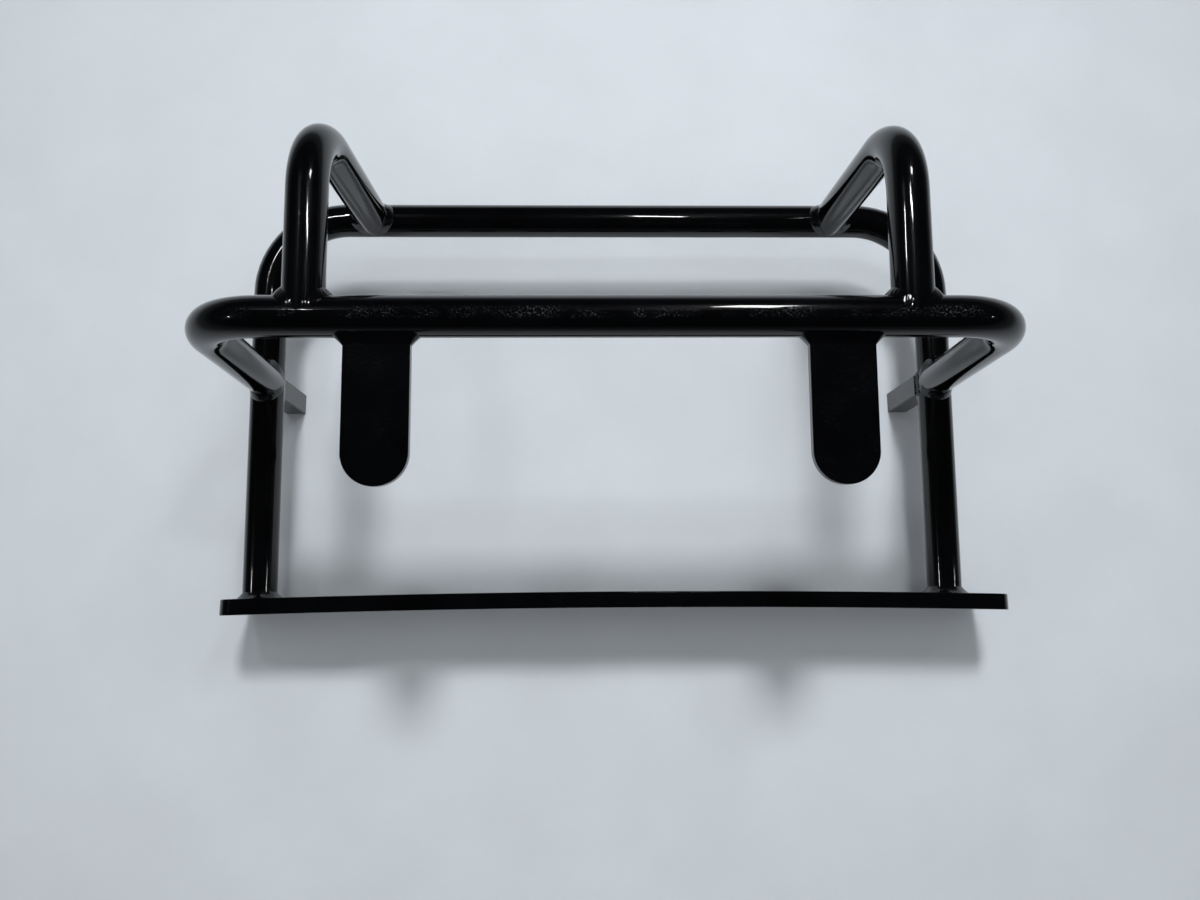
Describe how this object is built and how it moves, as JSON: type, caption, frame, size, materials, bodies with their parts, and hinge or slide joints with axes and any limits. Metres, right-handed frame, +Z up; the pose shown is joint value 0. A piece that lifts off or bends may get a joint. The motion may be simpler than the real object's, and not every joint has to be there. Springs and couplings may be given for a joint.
{
  "type": "saddlebag guard rail",
  "caption": "Welded tube guard with a slotted base plate, a bent frame, a raised front rail tied back by hoops, flat tabs and square feet.",
  "frame": {"origin": "middle of the area it covers, on the floor", "axes": "+X along the rails, +Y from the base plate back to the rear rail, +Z up from the floor it stands on"},
  "size_m": [0.6, 0.3266, 0.2586],
  "materials": {
    "gloss_black": "gloss black powder coat on steel",
    "weld_black": "gloss black powder coat over rippled weld beads"
  },
  "bodies": {
    "root": {"base_plate": "gloss_black", "main_frame": "gloss_black", "front_loop": "gloss_black", "hoop_left": "gloss_black", "hoop_right": "gloss_black", "tab_left": "gloss_black", "tab_right": "gloss_black", "foot_left": "gloss_black", "foot_right": "gloss_black", "weld_leg_left": "weld_black", "weld_leg_right": "weld_black", "weld_arm_left": "weld_black", "weld_arm_right": "weld_black", "weld_hoop_front_left": "weld_black", "weld_hoop_front_right": "weld_black", "weld_hoop_rear_left": "weld_black", "weld_hoop_rear_right": "weld_black", "weld_tab_left": "weld_black", "weld_tab_right": "weld_black", "weld_foot_left": "weld_black", "weld_foot_right": "weld_black"}
  },
  "joints": []
}
